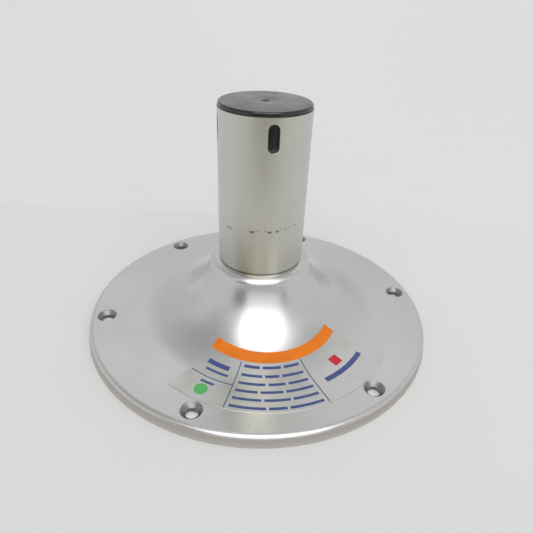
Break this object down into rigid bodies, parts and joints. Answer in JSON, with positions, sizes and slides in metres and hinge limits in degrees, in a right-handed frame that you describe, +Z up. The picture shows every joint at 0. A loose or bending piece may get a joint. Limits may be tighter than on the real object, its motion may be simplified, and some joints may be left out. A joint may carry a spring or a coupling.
{
  "type": "boat seat pedestal",
  "caption": "Low fixed boat seat pedestal: bell-shaped cast aluminium base with countersunk holes, slotted tube post and black top cap.",
  "frame": {"origin": "centre of the base on the deck", "axes": "+Z up along the post, -Y towards the side that carries the decal, +X through a screw hole"},
  "size_m": [0.254, 0.254, 0.162],
  "materials": {
    "cast_base": "turned and buffed to a satin shine",
    "post": "drawn tube, satin anodised",
    "cap": "black moulded, satin top and glossy rounded edge",
    "film": "clear decal film over the metal",
    "orange_ink": "printed band",
    "blue_ink": "printed rules and bars",
    "green_ink": "printed spot",
    "red_ink": "printed square"
  },
  "bodies": {
    "root": {"base_casting": "cast_base", "post_tube": "post", "top_cap": "cap", "decal_film": "film", "decal_band": "orange_ink", "decal_print": "blue_ink", "decal_spot": "green_ink", "decal_square": "red_ink"}
  },
  "joints": []
}
